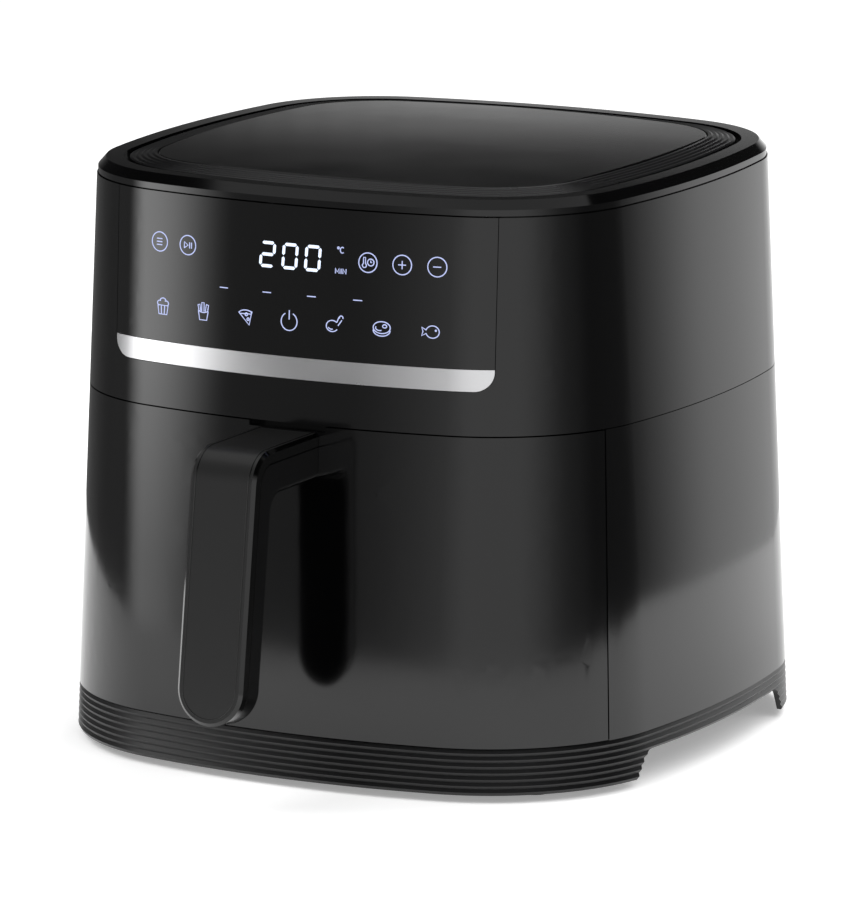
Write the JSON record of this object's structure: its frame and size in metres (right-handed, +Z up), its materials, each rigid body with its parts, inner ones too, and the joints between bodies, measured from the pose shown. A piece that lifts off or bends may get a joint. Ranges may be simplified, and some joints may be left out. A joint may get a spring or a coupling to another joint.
{
  "type": "air fryer",
  "caption": "Free-standing air fryer with a rounded black body, touch panel over a bright strip, pull-out basket drawer with a leaning handle, heater and fan inside.",
  "frame": {"origin": "middle of the object's box at floor level, under the rubber feet", "axes": "+Z up, -Y towards the drawer handle, +X to the right seen from the front"},
  "size_m": [0.3178, 0.3886, 0.2907],
  "materials": {
    "housing_black": "satin gloss moulded shell",
    "base_black": "satin ribbed moulding",
    "panel_gloss": "polished touch panel",
    "lid_gloss": "satin gloss lid",
    "lid_ring_black": "ridged satin ring",
    "strip_metal": "brushed and bright",
    "handle_black": "fine satin grip",
    "foot_rubber": "matt rubber",
    "bumper_rubber": "silicone",
    "inner_plastic": "heat resistant moulding",
    "plunger_white": "plain moulding",
    "sheet_steel": "plain sheet",
    "coated_pan": "dark non-stick coating",
    "element_steel": "oxidised tube",
    "insulator_white": "white ceramic",
    "fan_aluminium": "pressed sheet",
    "fan_plastic": "plain moulding",
    "shaft_steel": "turned steel",
    "bearing_bronze": "sintered bush",
    "board_green": "circuit board",
    "display_white": "light box",
    "contact_steel": "sprung contact",
    "part_black": "moulded case",
    "probe_steel": "closed steel tube"
  },
  "bodies": {
    "housing": {"lower_housing": "housing_black", "upper_housing": "housing_black", "top_rim": "housing_black", "base_skirt": "base_black", "bottom_cover": "base_black", "rear_grille": "base_black", "cord_gland": "base_black", "control_panel": "panel_gloss", "lid_panel": "lid_gloss", "lid_ring": "lid_ring_black", "trim_strip": "strip_metal", "rubber_feet": "foot_rubber", "drawer_guides": "inner_plastic", "chamber_deck": "inner_plastic", "display_brackets": "inner_plastic", "board_standoffs": "inner_plastic", "interlock_switch": "inner_plastic", "exhaust_duct": "inner_plastic", "chamber_liner": "sheet_steel", "heat_reflector": "sheet_steel", "fan_guard": "sheet_steel", "motor_bracket": "sheet_steel", "heater_clips": "sheet_steel", "motor_housing": "sheet_steel", "heater_coil": "element_steel", "heater_insulators": "insulator_white", "cover_screws": "shaft_steel", "motor_bearings": "bearing_bronze", "display_board": "board_green", "power_board": "board_green", "display_module": "display_white", "touch_springs": "contact_steel", "power_parts": "part_black", "thermal_cutout": "part_black", "temperature_probe": "probe_steel"},
    "rotor": {"motor_shaft": "shaft_steel", "convection_fan": "fan_aluminium", "cooling_fan": "fan_plastic", "fan_nut": "shaft_steel"},
    "drawer": {"drawer_front": "housing_black", "drawer_frame": "inner_plastic", "frame_screws": "shaft_steel", "handle_screws": "shaft_steel", "basket_pan": "coated_pan", "handle_frame": "handle_black", "handle_cover": "handle_black"},
    "crisper": {"crisper_plate": "coated_pan", "plate_bumpers": "bumper_rubber"},
    "plunger": {"interlock_plunger": "plunger_white"}
  },
  "joints": [
    {"name": "rotor_spin", "type": "hinge", "parent": "housing", "child": "rotor", "pos_m": [0, 0.02666, 0.22], "axis": [0, 0, 1], "continuous": true},
    {"name": "drawer_slide", "type": "slide", "parent": "housing", "child": "drawer", "axis": [0, -1, 0], "range_m": [0, 0.2]},
    {"name": "crisper_lift", "type": "slide", "parent": "drawer", "child": "crisper", "axis": [0, 0, 1], "range_m": [0, 0.09]},
    {"name": "plunger_press", "type": "slide", "parent": "housing", "child": "plunger", "axis": [0, 1, 0], "range_m": [0, 0.0014], "stiffness_N_per_m": 150}
  ]
}
